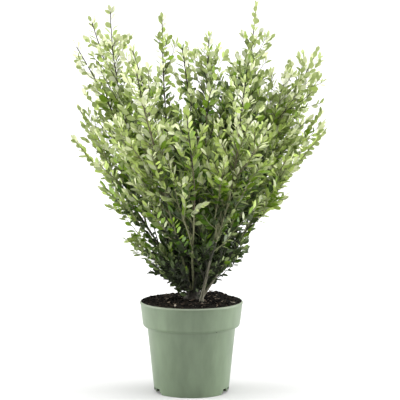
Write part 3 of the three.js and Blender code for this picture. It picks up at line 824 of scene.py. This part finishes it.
def wandering(curve, steps, drift, rng):
    """Points along a curve that stray a little from it between its ends."""
    points = points_on(curve, steps)
    t = np.linspace(0, 1, steps + 1)
    side, over = frame_of(unit(curve[2] - curve[0]))
    for direction in (side, over):
        for waves in (1, 2, 3):
            sway = drift / waves * rng.normal() * np.sin(math.pi * waves * t)
            points = points + sway[:, None] * direction
    return points


def crown_reach(height):
    return np.interp(height, CROWN_HEIGHTS, CROWN_REACHES, left=0)


def crown_share(points):
    """How far out points lie, from 0 on the crown's axis to 1 at its outline."""
    axis = np.interp(points[..., 2], CROWN_HEIGHTS, CROWN_AXES_X)
    away = np.hypot(points[..., 0] - axis, points[..., 1])
    return away / np.maximum(crown_reach(points[..., 2]), 1)


def in_crown(points):
    return np.all(crown_share(points) < 1) and np.all(points > BOX_LOW) and np.all(points < BOX_HIGH)


def keeps_to_space(points, spray, layout):
    """Whether points lie in the crown, and nearer to their own spray than well inside another."""
    if not in_crown(points):
        return False
    own = np.linalg.norm(points[:, None] - spray["samples"], axis=2).min(axis=1)
    for other in layout:
        if other is not spray:
            away = np.linalg.norm(points[:, None] - other["samples"], axis=2).min(axis=1)
            if np.any(away + SPACE_OVERLAP < own):
                return False
    return True


def twig_curve(start, tangent, around, length, kind):
    direction = leaning(tangent, around, kind["spread"])
    bend = start + TWIG_BEND * length * direction
    return start, bend, start + length * direction + kind["lift"] * length * UP


def twigs_of(parent, kind, rng, is_free, fullness=1.0):
    """Alternate shoots that climb round a limb and turn up, shorter towards its tip.

    Each takes the first turn about the limb that keeps it to its space, or is left out.
    Those of a bough grow on its inner side, so the bough itself shows from outside.
    """
    vigour = min(1, parent.length / FULL_LEADER) if kind is TWIG else 1
    spacing = kind["spacing"] * math.sqrt(vigour) / fullness
    count = max(1, round(parent.length * (kind["last"] - kind["first"]) / spacing))
    phase = rng.uniform(0, 2 * math.pi)
    twigs = []
    for k in range(count):
        place = ((k + TWIG_SHIFT * rng.random()) / count) ** LOW_CROWDING
        along = lerp(kind["first"], kind["last"], place)
        around = phase + k * GOLDEN_ANGLE + rng.random()
        if kind is BOUGH_TWIG:
            around = math.pi / 2 + rng.normal(0, BOUGH_TWIG_TURN)
        variation = rng.uniform(1 - TWIG_VARIATION, 1 + TWIG_VARIATION)
        length = vigour * variation * lerp(kind["long"], kind["short"], along**SHORTENING)
        start, tangent = parent.at(along), parent.tangent(along)
        length = min(length, max(kind["short"], parent.ceiling - start[2]))
        for turn in range(TWIG_TURNS):
            curve = twig_curve(start, tangent, around + turn * 2 * math.pi / TWIG_TURNS, length, kind)
            is_low = kind is SPUR or curve[2][2] < parent.ceiling
            if is_low and is_free(points_on(curve, TWIG_SAMPLES)[1:]):
                girth = max(TWIG_TIP_RADIUS, TWIG_GIRTH * parent.radius(along))
                points = wandering(curve, TWIG_STEPS, TWIG_WANDER * length, rng)
                twigs.append(Shoot(points, girth, TWIG_TIP_RADIUS, parent.ceiling, parent.tone))
                break
    return twigs


def grown(spray, layout):
    """The shoots of a spray: its leaders, their twigs, the side twigs on those, and bare spurs."""
    rng = np.random.default_rng(GROWTH_SEED * (spray["index"] + 1))

    def is_free(points):
        return keeps_to_space(points, spray, layout)

    leaders = []
    # Each leader's painted shading: its leaves made lighter or darker to stand for light and shade
    painted_shadings = PAINTED_SHADING.get(spray["name"], (0,) * len(spray["curves"]))
    for i, curve in enumerate(spray["curves"]):
        points = wandering(drawn_back(curve), LEADER_STEPS, LEADER_WANDER, rng)
        girth = LEADER_BASE_RADIUS - FORK_THINNING * i
        top = points[-1][2]
        ceiling = top + TWIG_RISE - SPIRE_SHARE * max(0, top - SPIRE_HEIGHT)
        leaders.append(Shoot(points, girth, LEADER_TIP_RADIUS, ceiling, painted_shadings[i]))
    twigs = []
    for leader, fullness in zip(leaders, FULLNESS.get(spray["name"], (1,) * len(leaders))):
        twigs += twigs_of(leader, TWIG, rng, is_free, fullness)
        if spray["bough"] is None:
            twigs += twigs_of(leader, SPROUT, rng, in_crown, fullness)
    if spray["bough"] is not None:
        bough = Shoot(points_on(spray["bough"], BOUGH_SAMPLES), BOUGH_BASE_RADIUS, BOUGH_TIP_RADIUS)
        twigs += twigs_of(bough, BOUGH_TWIG, rng, in_crown)
    side_twigs = [side for twig in twigs for side in twigs_of(twig, SIDE_TWIG, rng, is_free)]
    spurs = [spur for leader in leaders for spur in twigs_of(leader, SPUR, rng, in_crown)]
    return leaders, twigs, side_twigs, spurs


# Limbs as meshes

def tube(points, radii, sides, relief=None):
    """A closed tapering tube along points, with a relief that pushes its skin in and out."""
    tangents = unit(np.gradient(points, axis=0))
    side = frame_of(tangents[0])[0]
    vertices = []
    for i, (point, tangent) in enumerate(zip(points, tangents)):
        side = unit(side - tangent * np.dot(side, tangent))
        over = np.cross(tangent, side)
        turns = np.linspace(0, 2 * math.pi, sides, endpoint=False)
        out = np.outer(np.cos(turns), side) + np.outer(np.sin(turns), over)
        radius = np.full(sides, radii[i])
        if relief is not None:
            radius = radius * (1 + np.array([relief(point + radii[i] * o) for o in out]))
        vertices.append(point + radius[:, None] * out)
    rings = len(points)
    faces = []
    for r in range(rings - 1):
        for s in range(sides):
            t = (s + 1) % sides
            faces.append((r * sides + s, r * sides + t, (r + 1) * sides + t, (r + 1) * sides + s))
    faces.append(tuple(range(sides - 1, -1, -1)))
    faces.append(tuple(range((rings - 1) * sides, rings * sides)))
    return np.concatenate(vertices), faces


def bark_relief(point):
    """Shallow ridges and lumps of bark at a place."""
    place = Vector((point[0], point[1], point[2] * BARK["upright"])) * BARK["scale"]
    return BARK["depth"] * noise.fractal(place, *BARK["fractal"])


def make_foot(name, foot, material):
    """A lobed woody foot: flared at the soil, narrow at the neck, domed on top."""
    profile_heights = np.array(FOOT_HEIGHTS) * foot["height"]
    neck, flare = foot["neck"], foot["flare"]
    waist = lerp(neck, flare, FOOT_FLARE_SHARE)
    profile_radii = (flare, flare, waist, neck, neck * FOOT_SHOULDER_SHARE, neck * FOOT_TIP_SHARE)
    heights = np.linspace(profile_heights[0], profile_heights[-1], FOOT_RINGS)
    radii = np.interp(heights, profile_heights, profile_radii)
    vertices, faces = tube(np.stack([heights * 0, heights * 0, heights], axis=1), radii, FOOT_SIDES)
    for vertex in vertices:
        around = math.atan2(vertex[1], vertex[0])
        swell = 1 + LOBE_DEPTH * math.cos(foot["lobes"] * around) + bark_relief(vertex)
        vertex[0] = vertex[0] * swell + foot["lean"] * vertex[2] / foot["height"]
        vertex[1] = vertex[1] * swell
    vertices += [foot["x"], foot["y"], SOIL_TOP]
    dress(add_object(f"bark_{name}", vertices, faces, [material], sharp=50), "bark", name)


def make_bough(spray, material):
    points = points_on(spray["bough"], BOUGH_STEPS)
    radii = np.linspace(BOUGH_BASE_RADIUS, BOUGH_TIP_RADIUS, len(points))
    vertices, faces = tube(points, radii, BOUGH_SIDES, bark_relief)
    piece = add_object(f"bark_bough_{spray['name']}", vertices, faces, [material], sharp=60)
    dress(piece, "bark", f"bough_{spray['name']}")


# Leaves

def leaf_pattern():
    """A leaf's points as shares (along, across, lower) and its faces, upper ones first."""
    points = [(0, 0, 0)]
    for along, width in LEAF_STATIONS:
        points += [(along, width, 0), (along, 0, 0), (along, -width, 0)]
    tip = len(points)
    points.append((1, 0, 0))
    lower = len(points)
    points += [(along, 0, 1) for along, _ in LEAF_STATIONS]
    count = len(LEAF_STATIONS)
    left = [1 + 3 * s for s in range(count)]
    right = [3 + 3 * s for s in range(count)]

    def half_faces(middle):
        faces = [(0, right[0], middle[0]), (0, middle[0], left[0])]
        for s in range(count - 1):
            faces.append((right[s], right[s + 1], middle[s + 1], middle[s]))
            faces.append((middle[s], middle[s + 1], left[s + 1], left[s]))
        faces += [(right[-1], tip, middle[-1]), (middle[-1], tip, left[-1])]
        return faces

    upper_faces = half_faces([2 + 3 * s for s in range(count)])
    lower_faces = [face[::-1] for face in half_faces([lower + s for s in range(count)])]
    return np.array(points, float), upper_faces, lower_faces


LEAF_POINTS, LEAF_UPPER, LEAF_LOWER = leaf_pattern()
Leaf = namedtuple("Leaf", "root direction facing length youth")


def openness(height):
    """From 0 in the closed crown to 1 in its open top, where leaves are broader and looser."""
    return rise(height, *OPENING)


def leaf_length(height):
    return np.interp(height, LEAF_HEIGHTS, LEAF_LENGTHS)


def leaf_width(height):
    return np.interp(height, LEAF_HEIGHTS, LEAF_WIDTHS)


def leaves_on(shoot, first, spacing, rng):
    """Leaves in two loose ranks along a shoot, smaller and steeper at its tip, where a few end it."""
    count = max(2, round(shoot.length * (1 - first) / spacing))
    phase = rng.normal(0, RANK_TURN)
    leaves = []
    tip_places = [1 - TIP_STEP * (TIP_LEAVES - 1 - k) / shoot.length for k in range(TIP_LEAVES)]
    for k, along in enumerate([*np.linspace(first, 1, count, endpoint=False), *tip_places]):
        tangent = shoot.tangent(along)
        youth = max(0, 1 - (1 - along) * shoot.length / YOUNG_LENGTH)
        around = phase + k * math.pi + rng.normal(0, RANK_LOOSENESS)
        spread = lerp(LEAF_SPREAD, LEAF_TIP_SPREAD, youth) + rng.normal(0, LEAF_SPREAD_VARIATION)
        if along == 1:
            spread = LEAF_END_SPREAD
        direction = leaning(tangent, around, spread)
        facing = tangent - direction * np.dot(tangent, direction)
        facing = unit(facing + lerp(*LEAF_LOOSENESS, openness(shoot.at(along)[2])) * rng.normal(size=3))
        facing = unit(facing - direction * np.dot(facing, direction))
        length = leaf_length(shoot.at(along)[2]) * rng.uniform(*LEAF_LENGTH_VARIATION)
        length = length * lerp(1, YOUNG_SHORTNESS, youth)
        outwards = unit(direction - tangent * np.dot(direction, tangent))
        root = shoot.at(along) + LEAF_SEAT * shoot.radius(along) * outwards
        tip = root + length * direction
        if np.all(tip > BOX_LOW) and np.all(tip < BOX_HIGH):
            leaves.append(Leaf(root, direction, facing, length, youth))
    return leaves


def leaf_meshes(leaves, rng):
    """Vertices of all leaves at once: blades folded along the midrib, with tips that curl."""
    roots = np.array([leaf.root for leaf in leaves])
    directions = np.array([leaf.direction for leaf in leaves])
    facings = np.array([leaf.facing for leaf in leaves])
    lengths = np.array([leaf.length for leaf in leaves])[:, None]
    youths = np.array([leaf.youth for leaf in leaves])[:, None]
    across = np.cross(facings, directions)
    count = len(leaves)
    fold = rng.uniform(*LEAF_FOLD, (count, 1))
    curl = rng.normal(LEAF_CURL["mean"], LEAF_CURL["spread"], (count, 1))
    along, wide, low = LEAF_POINTS.T
    x = along * lengths
    slimness = leaf_width(roots[:, 2:]) / leaf_length(roots[:, 2:])
    slimness = slimness * lerp(1, YOUNG_SLIMNESS, youths)
    y = wide * lengths / 2 * slimness * rng.uniform(*LEAF_WIDTH_VARIATION, (count, 1))
    z = fold * np.abs(y) - curl * along**2 * lengths - low * LEAF_THICKNESS
    vertices = x[..., None] * directions[:, None] + y[..., None] * across[:, None]
    return (vertices + z[..., None] * facings[:, None] + roots[:, None]).reshape(-1, 3)


def tint_of(leaf, painted_shading_and_tone, richness, rng):
    """Which tint a leaf takes, by painted shade and light: dark low down and in the heart of the crown,
    lighter high up and out at the outline, rich or dull as painted light through it or painted sheen, lime
    at young tips.
    """
    root, youth = leaf.root, leaf.youth
    height = max(0, root[2] - SOIL_TOP) / (CROWN_TOP - SOIL_TOP)
    open_air = rise(height, *YOUNG_RISE)
    depth = rise(height, *OUTER_RISE) * (crown_share(root) - OUTER_SHARE)
    score = HEIGHT_LIGHT * height**HEIGHT_POWER + OUTER_LIGHT * depth + YOUNG_LIGHT * open_air * youth
    variation = lerp(*LIGHT_VARIATION, rise(height, *VARIATION_RISE))
    score += OPEN_LIGHT * openness(root[2]) + painted_shading_and_tone + rng.normal(0, variation)
    score -= SPIRE_SHADE * rise(root[2], SPIRE_HEIGHT, SPIRE_FADE)
    is_lime = youth * open_air > LIME_YOUTH and score + rng.normal(0, LIME_VARIATION) > LIME_STEP
    last = len(TINT_STEPS)
    step = last if is_lime else int(np.searchsorted(TINT_STEPS, score))
    # The palest step, a painted highlight, is mostly kept to the open top; elsewhere it drops a step
    if step == last and not is_lime and rng.random() > openness(root[2]) ** PALE_POWER:
        step -= 1
    if step == last:
        return 2 * step + is_lime
    return 2 * step + (rng.random() < richness * rise(height, *RICH_RISE))


def make_spray(spray, layout, looks):
    """The twigs and the leaves of one mass of foliage."""
    rng = np.random.default_rng(LEAF_SEED + spray["index"])
    wood = Bundle()
    leaves, tints = [], []
    for order, shoots in enumerate(grown(spray, layout)):
        is_spur = order == len(SHOOT_SIDES) - 1
        for shoot in shoots:
            vertices, faces = tube(shoot.points, shoot.radii, SHOOT_SIDES[order])
            heights = np.array([vertices[face[0]][2] for face in faces])
            wood.add(vertices, faces, np.searchsorted(WOOD_STEPS, heights + rng.normal(0, WOOD_VARIATION)))
            if is_spur:
                continue
            first, spacing = LEADER_LEAF_FIRST, LEADER_LEAF_SPACING
            if order > 0:
                first = TWIG_LEAF_FIRST
                spacing = LEAF_SPACING * lerp(1, OPEN_THINNING, openness(shoot.points[0][2]))
            # A shoot's painted shading from its leader, plus a tone that differs at random
            painted_shading_and_tone = shoot.tone + np.clip(rng.normal(0, MOOD_SPREAD), -MOOD_LIMIT, MOOD_LIMIT)
            richness = rng.uniform(*RICHNESS)
            for leaf in leaves_on(shoot, first, spacing, rng):
                leaves.append(leaf)
                tints.append(tint_of(leaf, painted_shading_and_tone, richness, rng))
    name = spray["name"]
    dress(wood.piece(f"twigs_{name}", looks["wood"], sharp=60), "foliage", f"foliage_{name}")
    vertices = leaf_meshes(leaves, rng)
    faces, indices = [], []
    for i, tint in enumerate(tints):
        offset = i * len(LEAF_POINTS)
        # The lower face follows the upper tint's step: painted shade for the low steps, painted light for
        # the high ones
        back = len(UPPER_TINTS) + int(np.clip(tint // 2 - 1, 0, len(LOWER_TINTS) - 1))
        for pattern, index in ((LEAF_UPPER, tint), (LEAF_LOWER, back)):
            faces.extend([[v + offset for v in face] for face in pattern])
            indices.extend([index] * len(pattern))
    blades = add_object(f"leaves_{name}", vertices, faces, looks["leaf"], indices, sharp=60)
    dress(blades, "foliage", f"foliage_{name}")


def make_plant():
    # Grey old bark of the trunk and most boughs, darkened further as painted shade from the crown over them
    old_bark_and_painted_shade = mottled_material(
        "bark_grey_and_painted_shade",
        ((0.3, (0.014, 0.012, 0.009)), (0.6, (0.042, 0.037, 0.026)), (0.8, (0.090, 0.080, 0.058))),
        roughness=0.85,
        scale=320,
        stretch=(1, 1, 0.3),
        bump=0.6,
        bump_scale=2,
    )
    pale_bark = mottled_material(
        "bark_pale",
        ((0.3, (0.080, 0.076, 0.050)), (0.6, (0.170, 0.162, 0.112)), (0.8, (0.300, 0.287, 0.212))),
        roughness=0.8,
        scale=300,
        stretch=(1, 1, 0.3),
        bump=0.5,
        bump_scale=2,
    )
    olive_bark = mottled_material(
        "bark_olive",
        ((0.3, (0.115, 0.120, 0.058)), (0.6, (0.220, 0.232, 0.122)), (0.8, (0.330, 0.340, 0.210))),
        roughness=0.75,
        scale=300,
        stretch=(1, 1, 0.3),
        bump=0.4,
        bump_scale=2,
    )
    barks = dict.fromkeys(("front_right", "right_low"), pale_bark)
    barks |= dict.fromkeys(("front", "front_left", "left_low"), olive_bark)
    looks = {
        "wood": [
            plain_material("twig_shaded", (0.040, 0.042, 0.026), roughness=0.75),
            plain_material("twig_olive", (0.200, 0.205, 0.105), roughness=0.7),
            plain_material("twig_brown", (0.170, 0.148, 0.092), roughness=0.75),
            plain_material("twig_dark", (0.036, 0.028, 0.022), roughness=0.75),
        ],
        "leaf": [plain_material(*tint, roughness=0.42, specular=0.25) for tint in UPPER_TINTS.items()]
        + [plain_material(*tint, roughness=0.6, specular=0.25) for tint in LOWER_TINTS.items()],
    }
    make_foot("trunk", TRUNK, old_bark_and_painted_shade)
    make_foot("front_stem", FRONT_STEM, pale_bark)
    layout = [laid_out(spray, index) for index, spray in enumerate(SPRAYS)]
    for spray in layout:
        if spray["bough"] is not None:
            make_bough(spray, barks.get(spray["name"], old_bark_and_painted_shade))
        make_spray(spray, layout, looks)


# Stage

def make_floor():
    vertices = [(FLOOR_REACH * x, FLOOR_REACH * y, 0) for x, y in ((-1, -1), (1, -1), (1, 1), (-1, 1))]
    white = mottled_material(
        "floor_white",
        ((0.3, (0.56, 0.56, 0.56)), (0.7, (0.59, 0.59, 0.59))),
        roughness=0.9,
        scale=3,
        bump=0.02,
    )
    add_object("floor", vertices, [(0, 1, 2, 3)], [white])


def make_light():
    """A soft white dome, brighter from above and from the sides than from behind the viewer."""
    scene = bpy.context.scene
    scene.world = bpy.data.worlds.new("studio")
    scene.world.use_nodes = True
    nodes, links = scene.world.node_tree.nodes, scene.world.node_tree.links
    sky = nodes["Background"]
    sky.inputs["Color"].default_value = (1, 1, 1, 1)
    place = nodes.new("ShaderNodeTexCoord")
    split = nodes.new("ShaderNodeSeparateXYZ")
    links.new(place.outputs["Generated"], split.inputs["Vector"])

    def glow(source, dark_at, bright_at, dark, bright):
        ramp = nodes.new("ShaderNodeMapRange")
        ramp.interpolation_type = "SMOOTHSTEP"
        ramp.inputs["From Min"].default_value = dark_at
        ramp.inputs["From Max"].default_value = bright_at
        ramp.inputs["To Min"].default_value = dark
        ramp.inputs["To Max"].default_value = bright
        links.new(source, ramp.inputs["Value"])
        return ramp.outputs["Result"]

    def joined(operation, *sources):
        step = nodes.new("ShaderNodeMath")
        step.operation = operation
        for socket, source in zip(step.inputs, sources):
            links.new(source, socket)
        return step.outputs["Value"]

    sideways = joined("ABSOLUTE", split.outputs["X"])
    front = glow(split.outputs["Y"], *DOME_FRONT_RANGE, *DOME_FRONT_TO_BACK)
    sides = glow(sideways, *DOME_SIDE_RANGE, 0, DOME_SIDES)
    top = glow(split.outputs["Z"], *DOME_TOP_RANGE, 0, DOME_TOP)
    links.new(joined("ADD", joined("ADD", front, sides), top), sky.inputs["Strength"])
    sun = bpy.data.lights.new("key", "SUN")
    sun.energy = KEY_LIGHT["strength"]
    sun.angle = math.radians(KEY_LIGHT["spread"])
    key = bpy.data.objects.new("key", sun)
    key.rotation_euler = (math.radians(KEY_LIGHT["pitch"]), math.radians(KEY_LIGHT["roll"]), 0)
    scene.collection.objects.link(key)


def make_camera():
    scene = bpy.context.scene
    pitch = math.radians(CAMERA_PITCH)
    data = bpy.data.cameras.new("camera")
    data.sensor_width = SENSOR_WIDTH
    data.lens = SENSOR_WIDTH * CAMERA_DISTANCE / FRAME_WIDTH
    data.clip_end = 2 * FLOOR_REACH * MM
    camera = bpy.data.objects.new("camera", data)
    back = np.array([0, -math.cos(pitch), math.sin(pitch)])
    camera.location = (np.array(CAMERA_AIM) + CAMERA_DISTANCE * back) * MM
    camera.rotation_euler = (math.pi / 2 - pitch, 0, 0)
    scene.collection.objects.link(camera)
    scene.camera = camera
    scene.view_settings.view_transform = "Standard"


make_camera()
make_light()
make_floor()
make_pot()
make_soil()
make_crumbs()
make_plant()
